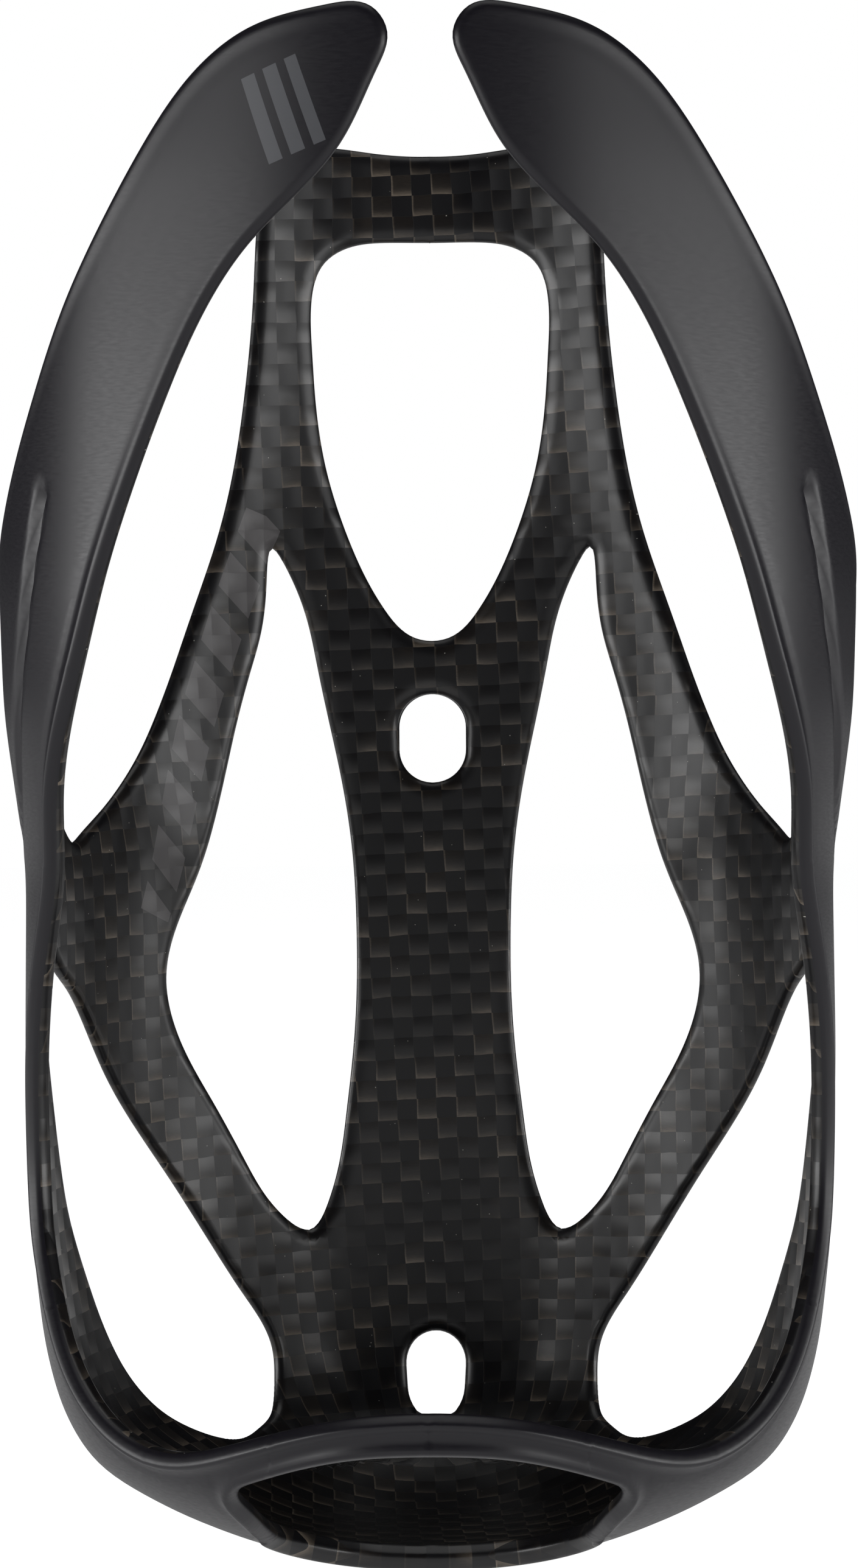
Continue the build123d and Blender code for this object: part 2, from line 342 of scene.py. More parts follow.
def cut_off(path, low, high):
    """The part of a path between two levels of its first coordinate, with exact ends."""
    inside = (path[:, 0] > low) & (path[:, 0] < high)
    start = np.argmax(inside)
    end = len(path) - np.argmax(inside[::-1])
    part = path[start:end]
    for limit in (low, high):
        for end_index, other in ((0, start - 1), (-1, end)):
            if 0 <= other < len(path):
                a, b = path[other], part[end_index]
                if (a[0] - limit) * (b[0] - limit) < 0:
                    exact = a + (b - a) * (limit - a[0]) / (b[0] - a[0])
                    exact[0] = limit
                    part = np.vstack([exact, part]) if end_index == 0 else np.vstack([part, exact])
    return part


half_turn = 180 * DEGREE
outer_path = cut_off(loops["outer"], 0, half_turn)
window_path = cut_off(np.roll(loops["window"], len(loops["window"]) // 4, 0), 0, half_turn)
slot_paths = []
for name in ("upper_slot", "lower_slot"):
    rolled = np.roll(spaced(loops[name], JOINT_STEP, True), 40, 0)
    slot_paths.append(cut_off(rolled, 0, half_turn))
toe_path = cut_off(toe, 0, half_turn)
cross = np.argmax(toe_path[:, 1] < FLOOR_JOINT)
crossing = np.array([[JOINT_END * DEGREE, FLOOR_JOINT]])
toe_side = np.vstack([toe_path[:cross - 1], crossing])
side_paths = [
    (outer_path, False), (window_path, False), (slot_paths[0], False), (slot_paths[1], False),
    (loops["side"], True), (loops["lower"], True), (toe_side, False),
]
at_back, at_front = outer_path[:, :1] < 1e-9, outer_path[:, :1] > half_turn - 1e-9
outer_loop = np.vstack([
    outer_path + (at_back * -0.02 + at_front * 0.02) * (1, 0),
    (half_turn + 0.02, FLOOR_JOINT - 0.02), (-0.02, FLOOR_JOINT - 0.02),
])
holes = [
    np.vstack([window_path, (-1, window_path[-1, 1]), (-1, window_path[0, 1])]),
    loops["side"], loops["lower"],
    np.vstack([toe_side, (half_turn + 1, FLOOR_JOINT - 1), (half_turn + 1, toe_side[0, 1])]),
]
for path in slot_paths:
    holes.append(np.vstack([path, (-1, path[-1, 1]), (-1, path[0, 1])]))


def side_domain(flat):
    inside = within(flat, outer_loop)
    for hole in holes:
        inside &= ~within(flat, hole)
    return inside


def straight(*corners):
    return np.array(corners, float) * scale


# Where one section ends and the next begins: heights in mm, and degrees round from the back.
BRIDGE_FOOT, LEG_FOOT, SPINE_FOOT = 78, 49.8, -18
WING_FOOT, RAIL_TOP, RAIL_FOOT = 20, 9, -20
SPINE_SIDE, FOOT_SIDE, STRUT_SIDE = 23.8, 38, 45
SHOULDER_BACK, WING_BACK, RAIL_FRONT = 58, 68.1, 130
BAND_HALF = 13.5
band_heights = np.linspace(-26, -37, 60)
band_widths = np.interp(-band_heights, -height_at[:last_ring], width_at[:last_ring])
band_line = np.column_stack([
    half_turn - SKIN_RADIUS * np.arcsin(BAND_HALF / band_widths), band_heights,
])
side_joints = [
    straight((0, FLOOR_JOINT), (0, 92)),
    straight((180, -31), (180, -26)),
    straight((0, FLOOR_JOINT), (JOINT_END, FLOOR_JOINT)),
    straight((0, BRIDGE_FOOT), (STRUT_SIDE, BRIDGE_FOOT)),
    straight((0, LEG_FOOT), (STRUT_SIDE, LEG_FOOT)),
    straight((SPINE_SIDE, SPINE_FOOT), (SPINE_SIDE, LEG_FOOT)),
    straight((SPINE_SIDE, RAIL_TOP), (RAIL_FRONT, RAIL_TOP)),
    straight((SHOULDER_BACK, RAIL_TOP), (SHOULDER_BACK, 27)),
    straight((WING_BACK, WING_FOOT), (RAIL_FRONT, WING_FOOT)),
    straight((WING_BACK, WING_FOOT), (WING_BACK, 22)),
    straight((0, SPINE_FOOT), (STRUT_SIDE, SPINE_FOOT)),
    straight((STRUT_SIDE, RAIL_FOOT), (RAIL_FRONT, RAIL_FOOT)),
    straight((FOOT_SIDE, FLOOR_JOINT), (FOOT_SIDE, -37)),
    band_line,
]
columns = np.arange(0.4, half_turn, 0.8)
lines = np.concatenate([np.arange(-39.7, -24, 0.5), np.arange(-24, 94, 0.75)])
side_grid = np.array([(s + 0.4 * (k % 2), h) for k, h in enumerate(lines) for s in columns])
side_flat, side_tris = net(on_side, side_paths, side_domain, side_joints, side_grid)

# The dish of the toe has its own net, from the ring where the wall turns in to the toe hole.
turned = np.abs(side_flat[:, 1] - FLOOR_JOINT) < 1e-4
turned &= (side_flat[:, 0] > -1e-4) & (side_flat[:, 0] < JOINT_END * DEGREE + 1e-3)
rim_points = side_flat[turned]
rim_points = rim_points[np.argsort(rim_points[:, 0])]
joint_ring = on_side(rim_points)[:, :2]
joint_ring[0, 0] = 0
corner = on_side(crossing)[0, :2]
before = on_side(np.array([(148.4, -37.1), (144.6, -38.6)]) * scale)[:, :2]
LIP_BACK = -47
lip_edge = [(-13.3, -52.6), (-10.6, -49.6), (-6, -47.6), (0, LIP_BACK), (6, -47.6)]
lip = smooth_path(np.vstack([before, corner, lip_edge]))
lip = lip[np.argmin(np.hypot(*(lip - corner).T)) + 1:]
lip = cut_off(np.vstack([corner, lip]), -30, 0)
from_middle = joint_ring - joint_ring.mean(0)
grown = joint_ring + 0.004 * from_middle / np.hypot(*from_middle.T)[:, None]
floor_loop = np.vstack([(0.02, grown[0, 1]), grown, lip, (0.02, LIP_BACK)])


def floor_domain(flat):
    return within(flat, floor_loop)


FLOOR_SIDE = -16
xs = np.arange(-24, 0, 0.7)
ys = np.arange(-68, -8, 0.65)
floor_grid = np.array([(x + 0.35 * (k % 2), y) for k, y in enumerate(ys) for x in xs])
floor_joints = [
    np.array([(0, LIP_BACK), (0, joint_ring[0, 1])]), np.array([(FLOOR_SIDE, -70), (FLOOR_SIDE, -10)]),
]
floor_flat, floor_tris = net(
    on_floor, [(lip, False)], floor_domain, floor_joints, floor_grid, joint_ring,
)

# ---- The thickness of the laminate and its edges -------------------------------------------------
# The cured sheet is 1.4 mm thick: both its faces are the same net, set off to each side of its
# middle. They close to a round edge at every outline, and the mould leaves a raised bead beside
# the edges of the toe, the band and the wings, with a shallow dip behind it.
ring_back = on_side(np.array([(0, FLOOR_JOINT)]))[0]
side_solid = on_side(side_flat)
side_normal = directions(on_side, side_flat)[2]
floor_solid = on_floor(floor_flat)
floor_normal = directions(on_floor, floor_flat)[2]
finder = KDTree(len(side_solid))
for i, point in enumerate(side_solid):
    finder.insert(point, i)
finder.balance()
floor_index = np.zeros(len(floor_flat), int)
fresh = []
on_border = np.array([finder.find(point)[2] for point in floor_solid])
for i, away in enumerate(on_border):
    if away < 0.03:
        floor_index[i] = finder.find(floor_solid[i])[1]
    else:
        floor_index[i] = len(side_solid) + len(fresh)
        fresh.append(i)
centres = np.vstack([side_solid, floor_solid[fresh]])
normals = np.vstack([side_normal, floor_normal[fresh]])
floor_layup = np.column_stack([-floor_flat[:, 0], FLOOR_JOINT - (ring_back[1] - floor_flat[:, 1])])
layup = np.vstack([side_flat, floor_layup[fresh]])
triangles = np.vstack([side_tris, floor_index[floor_tris]])

# Turn every triangle the same way round, outwards.
corner = centres[triangles]
facing = np.cross(corner[:, 1] - corner[:, 0], corner[:, 2] - corner[:, 0])
wrong = (facing * normals[triangles].mean(1)).sum(1) < 0
triangles[wrong] = triangles[wrong][:, ::-1]


SOFT_EDGE = 1.5
CRISP_EDGE = 0.85


def edge_style(name, path):
    """Bead height, bead distance from the edge and width of the rounded edge, in mm."""
    style = np.zeros((len(path), 3))
    style[:, 1] = 0.8
    style[:, 2] = SOFT_EDGE if name in ("window", "side", "slot") else CRISP_EDGE
    angle = path[:, 0] / DEGREE
    height = path[:, 1]
    if name == "outer":
        style[:, 0] = np.where(angle > 69, 0.05, 0.0)
        style[angle < 60, 2] = SOFT_EDGE
        tip = np.argmax((height > 90) & (angle > 170))
        front = np.arange(len(path)) > tip
        style[front, 0] = np.interp(height[front], (20, 50, 72), (0.4, 0.15, 0.0))
        style[front & (height < -24), 0] = 0.45
    if name == "toe":
        style[:, 0] = 0.35
    if name == "lip":
        style[:, 0] = 0.5
        style[:, 1] = 1.0
    kernel = np.exp(-0.5 * (np.arange(-40, 41) / 16) ** 2)
    kernel /= kernel.sum()
    padded = np.vstack([np.repeat(style[:1], 40, 0), style, np.repeat(style[-1:], 40, 0)])
    return np.column_stack([np.convolve(column, kernel, "valid") for column in padded.T])


named = [("outer", outer_path), ("window", window_path), ("slot", slot_paths[0]), ("slot", slot_paths[1]),
         ("side", loops["side"]), ("lower", loops["lower"]), ("toe", toe_side)]
starts, ends, styles = [], [], []
for name, path in named:
    solid = on_side(path)
    closed = name in ("side", "lower")
    starts.append(solid if closed else solid[:-1])
    ends.append(np.roll(solid, -1, 0) if closed else solid[1:])
    styles.append(edge_style(name, path) if closed else edge_style(name, path)[:-1])
solid = on_floor(lip)
starts.append(solid[:-1])
ends.append(solid[1:])
styles.append(edge_style("lip", lip)[:-1])
starts, ends, styles = np.vstack(starts), np.vstack(ends), np.vstack(styles)
seeker = KDTree(len(starts))
for i, point in enumerate((starts + ends) / 2):
    seeker.insert(point, i)
seeker.balance()
away = np.zeros(len(centres))
style = np.zeros((len(centres), 3))
for i, point in enumerate(centres):
    k = np.array([hit[1] for hit in seeker.find_n(point, 3)])
    span = ends[k] - starts[k]
    share = np.clip(((point - starts[k]) * span).sum(1) / (span * span).sum(1), 0, 1)
    gaps = np.linalg.norm(starts[k] + span * share[:, None] - point, axis=1)
    away[i] = gaps.min()
    style[i] = styles[k[gaps.argmin()]]
away[away < 1e-3] = 0

BEAD_WIDTH = 0.55
DIP_SHARE, DIP_AWAY, DIP_WIDTH = 0.3, 1.15, 0.45
bead = style[:, 0] * np.exp(-((away - style[:, 1]) / BEAD_WIDTH) ** 2)
dip = DIP_SHARE * style[:, 0] * np.exp(-((away - style[:, 1] - DIP_AWAY) / DIP_WIDTH) ** 2)
edge_round = np.sqrt(np.clip(1 - (1 - np.clip(away / style[:, 2], 0, 1)) ** 2, 0, 1))
thick = (HALF_WALL + bead - dip) * edge_round

# A groove is pressed down the front of each wing, both faces going in together.
GROOVE_DEPTH, GROOVE_WIDTH, GROOVE_REACH = 1.1, 0.7, 4
groove_line = [
    (119.5, 53.4), (116.2, 47), (113.5, 42), (110.4, 37), (106.5, 31), (101, 25.5), (94, 22),
]
groove = smooth_path(np.array(groove_line) * scale)
groove_solid = on_side(groove)
seek_groove = KDTree(len(groove_solid))
for i, point in enumerate(groove_solid):
    seek_groove.insert(point, i)
seek_groove.balance()
shift = np.zeros(len(centres))
for i, point in enumerate(centres):
    far = seek_groove.find(point)[2]
    if far < GROOVE_REACH:
        shift[i] -= GROOVE_DEPTH * math.exp(-(far / GROOVE_WIDTH) ** 2)
outside = centres + normals * (shift + thick)[:, None]
inside = centres + normals * (shift - thick)[:, None]

# The right half mirrors the left, and both halves share the points on the middle line.
count = len(centres)
rim = away == 0
middle_line = np.abs(centres[:, 0]) < 1e-3
index_out = np.arange(count)
index_in = np.where(rim, index_out, index_out + count)
flip_out = np.where(middle_line, index_out, index_out + 2 * count)
flip_in = np.where(middle_line, index_in, index_in + 2 * count)
outside[middle_line, 0] = 0
inside[middle_line, 0] = 0
cloud = np.vstack([outside, inside, outside * (-1, 1, 1), inside * (-1, 1, 1)])
cloud_map = np.vstack([layup, layup, layup * (-1, 1), layup * (-1, 1)])

# ---- The named sections of the layup ---------------------------------------------------------------
# Bridge, legs, spine and its foot, struts, shoulders, wings, rails, front band, cup wall and toe
# floor: each is its own part of the carbon layup, and all are cured together in the mould. Each
# becomes a closed mesh, its faces meeting the next section's along the joint.


def lower_hole_middle(height):
    """Degrees round to the middle of the lower side hole at a height."""
    level = np.abs(loops["lower"][:, 1] - height) < 0.3
    if not level.any():
        return 74
    return (loops["lower"][level, 0].min() + loops["lower"][level, 0].max()) / 2 / DEGREE


def section_of(flat):
    """Section of the layup that a point of the side net belongs to."""
    angle, height = flat[0] / DEGREE, flat[1]
    if height > BRIDGE_FOOT and angle < STRUT_SIDE:
        return "top_bridge"
    if height > LEG_FOOT and angle < STRUT_SIDE:
        return "leg"
    if height > SPINE_FOOT and angle < SPINE_SIDE:
        return "spine"
    if height > WING_FOOT and angle > WING_BACK:
        return "wing"
    if height > RAIL_TOP:
        return "upper_strut" if angle < SHOULDER_BACK else "shoulder"
    if height > RAIL_FOOT and angle > STRUT_SIDE:
        return "rail" if angle > lower_hole_middle(height) else "lower_strut"
    if height > SPINE_FOOT:
        return "lower_strut"
    if angle < FOOT_SIDE:
        return "spine_foot"
    band_side = np.interp(height, band_heights[::-1], band_line[::-1, 0])
    return "front_band" if angle > 90 and flat[0] > band_side else "cup_wall"


side_centres = side_flat[side_tris].mean(1)
floor_centres = floor_flat[floor_tris].mean(1)
sections = [section_of(point) for point in side_centres]
sections += ["toe_floor" if x > FLOOR_SIDE else "cup_wall" for x in floor_centres[:, 0]]
sections = np.array(sections)

both_out = np.vstack([index_out[triangles], flip_out[triangles][:, ::-1]])
both_in = np.vstack([index_in[triangles][:, ::-1], flip_in[triangles]])
corner = cloud[np.vstack([both_out, both_in])]
facing = np.cross(corner[:, 1] - corner[:, 0], corner[:, 2] - corner[:, 0])
smooth = np.zeros_like(cloud)
for k in range(3):
    np.add.at(smooth, np.vstack([both_out, both_in])[:, k], facing)
smooth /= np.maximum(np.linalg.norm(smooth, axis=1), 1e-12)[:, None]


def add_piece(name, node, rows, materials):
    """Adds one section as a closed mesh, outside first, standing for its CAD node."""
    skin = np.vstack([both_out[rows], both_in[rows]])
    half = len(rows)
    outer = both_out[rows]
    directed = np.vstack([outer[:, [0, 1]], outer[:, [1, 2]], outer[:, [2, 0]]])
    sides = np.sort(directed, axis=1)
    _, first, times = np.unique(sides, axis=0, return_index=True, return_counts=True)
    ends = directed[first[times == 1]]
    to_inside = np.arange(4 * count)
    to_inside[:count] = index_in
    to_inside[2 * count:3 * count] = flip_in
    caps = []
    for a, b in ends:
        if to_inside[a] == a and to_inside[b] == b:
            continue
        cap = [b, a, to_inside[a], to_inside[b]]
        caps.append([v for k, v in enumerate(cap) if v not in cap[:k]])
    used = np.unique(skin)
    renumber = np.full(4 * count, -1)
    renumber[used] = np.arange(len(used))
    faces = [list(map(int, f)) for f in renumber[skin]] + [[int(renumber[v]) for v in cap] for cap in caps]
    mesh = bpy.data.meshes.new(name)
    mesh.from_pydata(cloud[used] / 1000, [], faces)
    for material in materials:
        mesh.materials.append(material)
    material_index = np.concatenate([np.zeros(half), np.ones(half), np.zeros(len(caps))]).astype(np.int32)
    mesh.polygons.foreach_set("material_index", material_index)
    mesh.polygons.foreach_set("use_smooth", np.ones(len(faces), bool))
    corners = np.zeros(len(mesh.loops), np.int32)
    mesh.loops.foreach_get("vertex_index", corners)
    uv = mesh.uv_layers.new(name="layup")
    uv.data.foreach_set("uv", (cloud_map[used][corners] / 1000).astype(np.float32).ravel())
    loop_normals = smooth[used][corners]
    for cap, polygon in zip(caps, list(mesh.polygons)[2 * half:]):
        span = range(polygon.loop_start, polygon.loop_start + polygon.loop_total)
        loop_normals[list(span)] = polygon.normal
    mesh.normals_split_custom_set([Vector(n) for n in loop_normals])
    obj = bpy.data.objects.new(name, mesh)
    bpy.context.scene.collection.objects.link(obj)
    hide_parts(node)
    return obj


# ---- Woven and plain carbon ----------------------------------------------------------------------
# The inside of the cage and its whole back show a woven cloth in clear resin. The outside of the
# shoulders, wings, rails, cup wall and front band is plain sheet, sanded and lacquered matte.
def linear(code):
    """A linear colour from an sRGB hex code."""
    parts = [int(code[i:i + 2], 16) / 255 for i in (1, 3, 5)]
    return [p / 12.92 if p <= 0.04045 else ((p + 0.055) / 1.055) ** 2.4 for p in parts] + [1.0]


def add_node(material, kind, links=None, values=None, out=0, **settings):
    """Adds one shader node with its settings, set values and links, and gives one output."""
    node = material.node_tree.nodes.new(kind)
    for key, value in settings.items():
        setattr(node, key, value)
    for socket, value in (values or {}).items():
        node.inputs[socket].default_value = value
    for socket, source in (links or {}).items():
        material.node_tree.links.new(source, node.inputs[socket])
    return node.outputs[out]


# Woven carbon: a plain weave of flat tows about 2 mm wide, a few degrees off upright, wetted out
# with clear resin. Its colour holds a painted highlight: tows that run across are painted lighter, most
# along their lower edge, and the upright ones are painted nearly black. The resin above keeps a soft satin
# shine with tiny dust specks.
woven = bpy.data.materials.new("woven_carbon")
woven.use_nodes = True
TOW = 0.00206
STRAY = 0.0004
TILT = 0.045
uv = add_node(woven, "ShaderNodeUVMap", uv_map="layup")
# Each tow strays up to 0.2 mm from its straight course, in waves about 4 mm long.
wander = add_node(woven, "ShaderNodeTexNoise", {"Vector": uv}, {"Scale": 260.0, "Detail": 1.0})
wander = add_node(
    woven, "ShaderNodeVectorMath", {0: wander},
    {1: (STRAY, STRAY, 0), 2: (-STRAY / 2, -STRAY / 2, 0)}, operation="MULTIPLY_ADD",
)
placed = add_node(woven, "ShaderNodeVectorMath", {0: uv, 1: wander}, operation="ADD")
cells = add_node(
    woven, "ShaderNodeMapping", {"Vector": placed},
    {"Rotation": (0, 0, TILT), "Scale": (1 / TOW, 1 / TOW, 1)},
)
whole = add_node(woven, "ShaderNodeVectorMath", {0: cells}, operation="FLOOR")
part = add_node(woven, "ShaderNodeVectorMath", {0: cells}, operation="FRACTION")
column, row = add_node(woven, "ShaderNodeSeparateXYZ", {0: whole}).node.outputs[:2]
total = add_node(woven, "ShaderNodeMath", {0: column, 1: row}, operation="ADD")
across = add_node(woven, "ShaderNodeMath", {0: total}, {1: 2.0}, operation="FLOORED_MODULO")
along_x, along_y = add_node(woven, "ShaderNodeSeparateXYZ", {0: part}).node.outputs[:2]
# Painted highlight: the lower edge and one side of each tow that runs across are painted light.
painted_low_edge_highlight = add_node(
    woven, "ShaderNodeMapRange", {"Value": along_y},
    {"From Min": 0.0, "From Max": 0.45, "To Min": 1.0, "To Max": 0.0},
)
painted_low_edge_highlight = add_node(woven, "ShaderNodeMath", {0: painted_low_edge_highlight}, {1: 2.2}, operation="POWER")
painted_side_highlight = add_node(
    woven, "ShaderNodeMapRange", {"Value": along_x}, {"From Min": 0.9, "From Max": 1.0},
)
cell_tone = add_node(
    woven, "ShaderNodeTexWhiteNoise", {"Vector": whole}, noise_dimensions="2D",
)
# Patches about 11 mm wide of painted shade, where the painted highlight of the tows is dimmed as if less
# light fell there.
painted_shade_patches = add_node(woven, "ShaderNodeTexNoise", {"Vector": uv}, {"Scale": 90.0, "Detail": 2.0})
painted_shade_patches = add_node(
    woven, "ShaderNodeMapRange", {"Value": painted_shade_patches},
    {"From Min": 0.42, "From Max": 0.6, "To Min": 0.12, "To Max": 1.0},
)
# Real filaments are 0.007 mm thick, too fine to show, so they are drawn about 0.1 mm thick.
fibres = add_node(
    woven, "ShaderNodeMapping", {"Vector": placed}, {"Scale": (1500, 9000, 1)},
)
fibres = add_node(woven, "ShaderNodeTexNoise", {"Vector": fibres}, {"Scale": 1.0, "Detail": 2.0})
# Painted highlight of the tows that run across, dimmed in patches of painted shade, with a random tone for
# each tow and the fibre grain.
painted_highlight_and_floor_glow = add_node(
    woven, "ShaderNodeMath", {0: painted_low_edge_highlight, 1: painted_side_highlight}, operation="ADD", use_clamp=True,
)
painted_highlight_and_floor_glow = add_node(woven, "ShaderNodeMath", {0: painted_highlight_and_floor_glow}, {1: 0.8, 2: 0.12}, operation="MULTIPLY_ADD")
painted_highlight_and_floor_glow = add_node(woven, "ShaderNodeMath", {0: painted_highlight_and_floor_glow, 1: across}, operation="MULTIPLY")
painted_highlight_and_floor_glow = add_node(woven, "ShaderNodeMath", {0: painted_highlight_and_floor_glow, 1: painted_shade_patches}, operation="MULTIPLY")
tone = add_node(
    woven, "ShaderNodeMath", {0: cell_tone}, {1: 0.7, 2: 0.45}, operation="MULTIPLY_ADD",
)
painted_highlight_and_floor_glow = add_node(woven, "ShaderNodeMath", {0: painted_highlight_and_floor_glow, 1: tone}, operation="MULTIPLY")
grain = add_node(
    woven, "ShaderNodeMath", {0: fibres}, {1: 1.0, 2: 0.5}, operation="MULTIPLY_ADD",
)
painted_highlight_and_floor_glow = add_node(
    woven, "ShaderNodeMath", {0: painted_highlight_and_floor_glow, 1: grain}, operation="MULTIPLY", use_clamp=True,
)
# The colour runs from near black to a lit brown-grey with the painted highlight.
colour = add_node(
    woven, "ShaderNodeMix", {"Factor": painted_highlight_and_floor_glow},
    {6: linear("#07060a"), 7: linear("#7d7265")}, out=2, data_type="RGBA",
)
# A plain printed mark, a row of slanted bars down the left upper strut: each is 3.6 mm long and
# 4.2 mm wide, and one begins every 5.8 mm.
DOWN_STRUT, OVER_STRUT = (0.358, -0.934, 0), (0.934, 0.358, 0)
BAR_STEP, BAR_LENGTH, BAR_SLANT = 0.0058, 0.0036, 0.45
BAR_PLACE, BAR_HALF = 0.0351, 0.0021
ROW_MIDDLE, ROW_HALF = -0.0235, 0.0212
down = add_node(
    woven, "ShaderNodeVectorMath", {0: uv}, {1: DOWN_STRUT}, out="Value", operation="DOT_PRODUCT",
)
over = add_node(
    woven, "ShaderNodeVectorMath", {0: uv}, {1: OVER_STRUT}, out="Value", operation="DOT_PRODUCT",
)
slant = add_node(
    woven, "ShaderNodeMath", {0: over, 2: down}, {1: BAR_SLANT}, operation="MULTIPLY_ADD",
)
repeat = add_node(woven, "ShaderNodeMath", {0: slant}, {1: BAR_STEP}, operation="FLOORED_MODULO")
bars = add_node(woven, "ShaderNodeMath", {0: repeat}, {1: BAR_LENGTH}, operation="LESS_THAN")
lane = add_node(
    woven, "ShaderNodeMath", {0: over}, {1: BAR_PLACE, 2: BAR_HALF}, operation="COMPARE",
)
reach = add_node(
    woven, "ShaderNodeMath", {0: down}, {1: ROW_MIDDLE, 2: ROW_HALF}, operation="COMPARE",
)
marks = add_node(woven, "ShaderNodeMath", {0: bars, 1: lane}, operation="MULTIPLY")
marks = add_node(woven, "ShaderNodeMath", {0: marks, 1: reach}, operation="MULTIPLY")
# Dust under the resin, about one speck in every 1.4 mm.
specks = add_node(woven, "ShaderNodeTexVoronoi", {"Vector": uv}, {"Scale": 700.0}, feature="F1")
specks = add_node(woven, "ShaderNodeMath", {0: specks}, {1: 0.035}, operation="LESS_THAN")
colour = add_node(
    woven, "ShaderNodeMix", {"Factor": specks, 6: colour}, {7: linear("#b9b6ae")},
    out=2, data_type="RGBA",
)
colour = add_node(
    woven, "ShaderNodeMix", {"Factor": marks, 6: colour}, {7: linear("#555253")},
    out=2, data_type="RGBA",
)
# Every tow stands in a low round, across its own width, and the resin follows it.
dome = add_node(woven, "ShaderNodeMath", {0: along_y}, {1: math.pi}, operation="MULTIPLY")
dome = add_node(woven, "ShaderNodeMath", {0: dome}, operation="SINE")
dome_up = add_node(woven, "ShaderNodeMath", {0: along_x}, {1: math.pi}, operation="MULTIPLY")
dome_up = add_node(woven, "ShaderNodeMath", {0: dome_up}, operation="SINE")
domes = add_node(
    woven, "ShaderNodeMix", {"Factor": across, 2: dome_up, 3: dome}, data_type="FLOAT",
)
bump = add_node(
    woven, "ShaderNodeBump", {"Height": domes}, {"Strength": 0.35, "Distance": 0.00012},
)
shine = add_node(
    woven, "ShaderNodeMath", {0: across}, {1: -0.1, 2: 0.4}, operation="MULTIPLY_ADD",
)
body = woven.node_tree.nodes["Principled BSDF"]
woven.node_tree.links.new(colour, body.inputs["Base Color"])
woven.node_tree.links.new(bump, body.inputs["Normal"])
woven.node_tree.links.new(shine, body.inputs["Roughness"])
body.inputs["Specular IOR Level"].default_value = 0.5
body.inputs["Coat Weight"].default_value = 0.25
body.inputs["Coat Roughness"].default_value = 0.2

# Plain carbon: unidirectional sheet, sanded and lacquered matte. It gives the eye an even
# graphite grey with broad soft highlights and the faintest grain along the arms.
matte = bpy.data.materials.new("matte_carbon")
matte.use_nodes = True
uv = add_node(matte, "ShaderNodeUVMap", uv_map="layup")
# The sanding marks are drawn about 0.2 mm wide and 1.1 mm long, as fine as shows.
grain = add_node(
    matte, "ShaderNodeMapping", {"Vector": uv}, {"Rotation": (0, 0, 0.6), "Scale": (900, 5000, 1)},
)
grain = add_node(matte, "ShaderNodeTexNoise", {"Vector": grain}, {"Scale": 1.0, "Detail": 2.0})
rough = add_node(
    matte, "ShaderNodeMapRange", {"Value": grain},
    {"From Min": 0.3, "From Max": 0.7, "To Min": 0.33, "To Max": 0.4},
)
cloud_tone = add_node(matte, "ShaderNodeTexNoise", {"Vector": uv}, {"Scale": 60.0, "Detail": 2.0})
colour = add_node(
    matte, "ShaderNodeMix", {"Factor": cloud_tone},
    {6: linear("#15131a"), 7: linear("#1c1a20")}, out=2, data_type="RGBA",
)
# A plain printed mark near the left wing's tip: three stripes, 1.3 mm wide and 8 mm long.
OVER_TIP, DOWN_TIP = (0.93, 0.36, 0), (0.36, -0.93, 0)
STRIPE_STEP, STRIPE_WIDTH = 0.0021, 0.0013
over = add_node(
    matte, "ShaderNodeVectorMath", {0: uv}, {1: OVER_TIP}, out="Value", operation="DOT_PRODUCT",
)
down = add_node(
    matte, "ShaderNodeVectorMath", {0: uv}, {1: DOWN_TIP}, out="Value", operation="DOT_PRODUCT",
)
lanes = add_node(
    matte, "ShaderNodeMath", {0: over}, {1: STRIPE_STEP}, operation="FLOORED_MODULO",
)
lanes = add_node(matte, "ShaderNodeMath", {0: lanes}, {1: STRIPE_WIDTH}, operation="LESS_THAN")
wide = add_node(matte, "ShaderNodeMath", {0: over}, {1: 0.1283, 2: 0.0030}, operation="COMPARE")
tall = add_node(matte, "ShaderNodeMath", {0: down}, {1: -0.0415, 2: 0.0040}, operation="COMPARE")
marks = add_node(matte, "ShaderNodeMath", {0: lanes, 1: wide}, operation="MULTIPLY")
marks = add_node(matte, "ShaderNodeMath", {0: marks, 1: tall}, operation="MULTIPLY")
colour = add_node(
    matte, "ShaderNodeMix", {"Factor": marks, 6: colour}, {7: linear("#57585c")},
    out=2, data_type="RGBA",
)
body = matte.node_tree.nodes["Principled BSDF"]
matte.node_tree.links.new(colour, body.inputs["Base Color"])
matte.node_tree.links.new(rough, body.inputs["Roughness"])

# ---- The pieces in place -------------------------------------------------------------------------
# Every section stands for its part of the layup. All but the wings ride with the cage; each wing's
# mesh is set in place, fixed in the world. The two pads moulded round the bolt
# slots keep their own shape and take the woven carbon of the spine.
WOVEN_BACK = ("leg", "upper_strut", "lower_strut", "spine", "spine_foot", "toe_floor", "top_bridge")
PAIRED = ("leg", "upper_strut", "lower_strut", "shoulder", "rail", "cup_wall", "wing")
for section in sorted(set(sections)):
    rows = np.nonzero(sections == section)[0]
    back = section in WOVEN_BACK
    looks = [woven if back else matte, woven]
    if section in PAIRED:
        for side, chosen in (("left", rows), ("right", rows + len(triangles))):
            obj = add_piece(f"{side}_{section}_laminate", f"{side}_{section}", chosen, looks)
            if section == "wing":
                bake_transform(obj)
            else:
                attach(obj, "cage")
    else:
        both = np.concatenate([rows, rows + len(triangles)])
        obj = add_piece(f"{section}_laminate", section, both, looks)
        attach(obj, "cage")
for name in ("upper_mount_pad", "lower_mount_pad"):
    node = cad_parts[name]
    node.data.materials.clear()
    node.data.materials.append(woven)

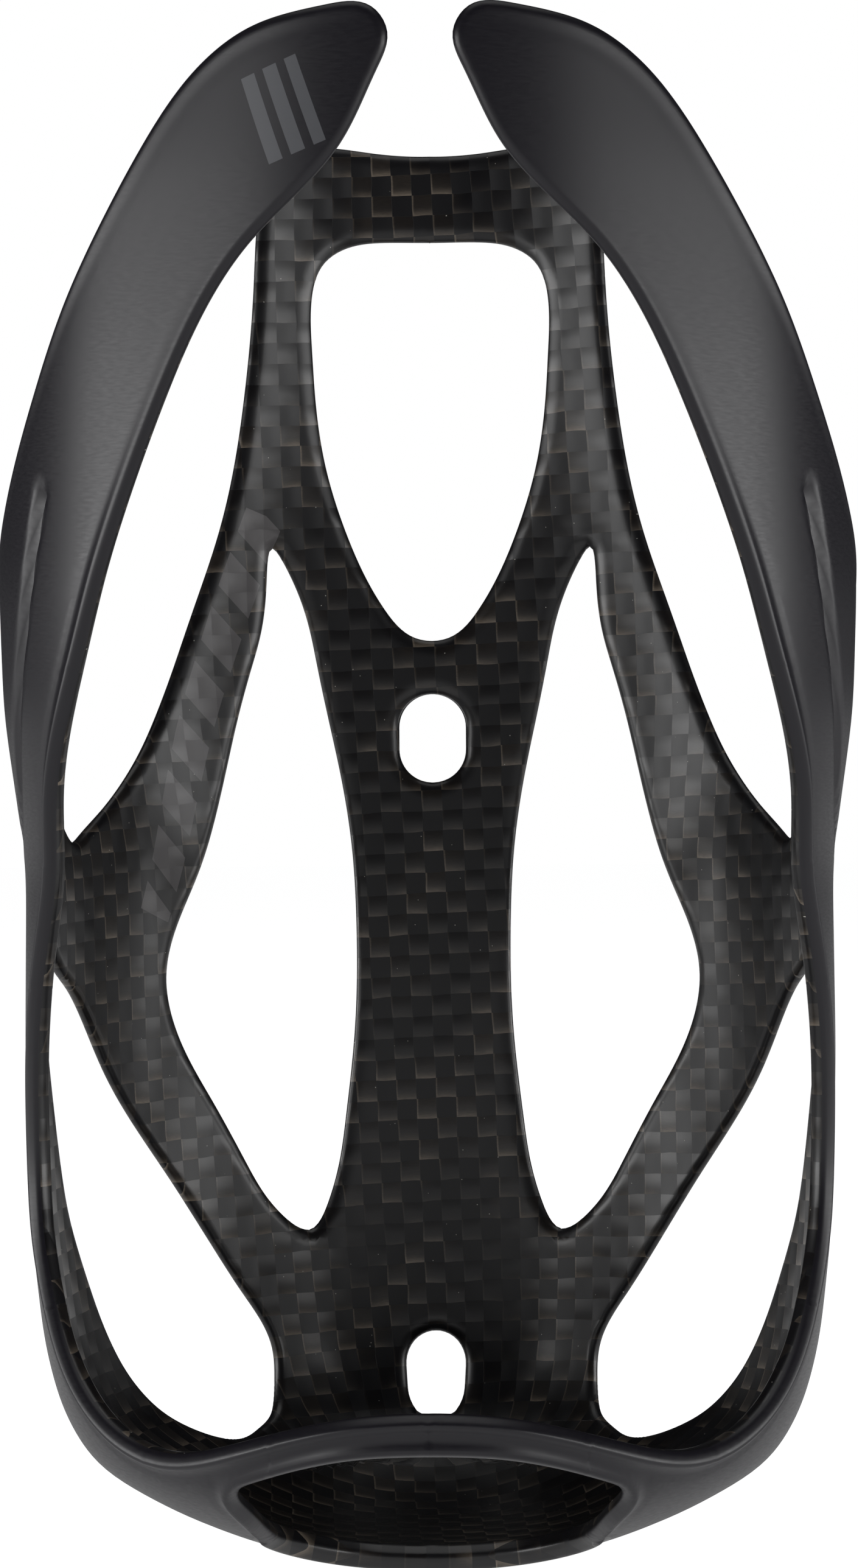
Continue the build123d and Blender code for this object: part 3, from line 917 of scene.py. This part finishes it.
# ---- Floor, light and camera ---------------------------------------------------------------------
# The cage stands on its toe on a plain pale floor, between two long softboxes and under a third.
# Floor and world are nearly white to the camera but throw less light than that (Light Path), so
# that the floor stays plain and pale and the carbon keeps its dark, soft shading.
FLOOR_SIZE = 4.0
FLOOR_LEVEL = -0.0466
pale = bpy.data.materials.new("pale_floor")
pale.use_nodes = True
shader = pale.node_tree.nodes["Principled BSDF"]
shader.inputs["Base Color"].default_value = linear("#f0f0f0")
shader.inputs["Roughness"].default_value = 0.9
shader.inputs["Emission Color"].default_value = linear("#ffffff")
seen = add_node(pale, "ShaderNodeLightPath")
painted_highlight_and_floor_glow = add_node(pale, "ShaderNodeMapRange", {"Value": seen}, {"To Min": 0.35, "To Max": 0.98})
pale.node_tree.links.new(painted_highlight_and_floor_glow, shader.inputs["Emission Strength"])
floor_mesh = bpy.data.meshes.new("floor")
signs = ((-1, -1), (1, -1), (1, 1), (-1, 1))
floor_corners = [(x * FLOOR_SIZE, y * FLOOR_SIZE, FLOOR_LEVEL) for x, y in signs]
floor_mesh.from_pydata(floor_corners, [], [(0, 1, 2, 3)])
floor_mesh.materials.append(pale)
floor = bpy.data.objects.new("floor", floor_mesh)
bpy.context.scene.collection.objects.link(floor)


def add_softbox(name, place, target, size, power):
    """Adds one rectangular softbox that faces its target."""
    data = bpy.data.lights.new(name, "AREA")
    data.shape = "RECTANGLE"
    data.size, data.size_y = size
    data.energy = power
    light = bpy.data.objects.new(name, data)
    light.location = place
    light.rotation_mode = "QUATERNION"
    light.rotation_quaternion = (Vector(target) - Vector(place)).to_track_quat("-Z", "Y")
    bpy.context.scene.collection.objects.link(light)


add_softbox("top_softbox", (0, -0.1, 0.9), (0, 0, 0), (0.8, 0.8), 1.6)
add_softbox("left_softbox", (-0.75, -0.3, 0.06), (0, -0.04, 0.06), (0.95, 0.24), 3.4)
add_softbox("right_softbox", (0.75, -0.3, 0.06), (0, -0.04, 0.06), (0.95, 0.24), 3.0)
world = bpy.data.worlds.new("studio")
world.use_nodes = True
sky = world.node_tree.nodes["Background"]
sky.inputs["Strength"].default_value = 0.02
sky.inputs["Color"].default_value = linear("#e6e9f2")
white = add_node(world, "ShaderNodeBackground", values={"Color": linear("#ffffff")})
seen = add_node(world, "ShaderNodeLightPath")
choose = add_node(world, "ShaderNodeMixShader", {0: seen, 1: sky.outputs[0], 2: white})
world.node_tree.links.new(choose, world.node_tree.nodes["World Output"].inputs[0])
bpy.context.scene.world = world
bpy.context.scene.view_settings.view_transform = "Standard"

camera_data = bpy.data.cameras.new("camera")
camera = bpy.data.objects.new("camera", camera_data)
bpy.context.scene.collection.objects.link(camera)
bpy.context.scene.camera = camera
camera_data.lens = 113.8
camera_data.sensor_width = 36
ROLL = math.radians(-0.34)
camera.location = (0.0048, -0.5, 0.0274)
aim = Vector((-0.0004, 0, 0.0274))
camera.rotation_mode = "QUATERNION"
facing_aim = (aim - camera.location).to_track_quat("-Z", "Y")
camera.rotation_quaternion = facing_aim @ Quaternion((0, 0, 1), ROLL)
camera_data.clip_start, camera_data.clip_end = 0.01, 10
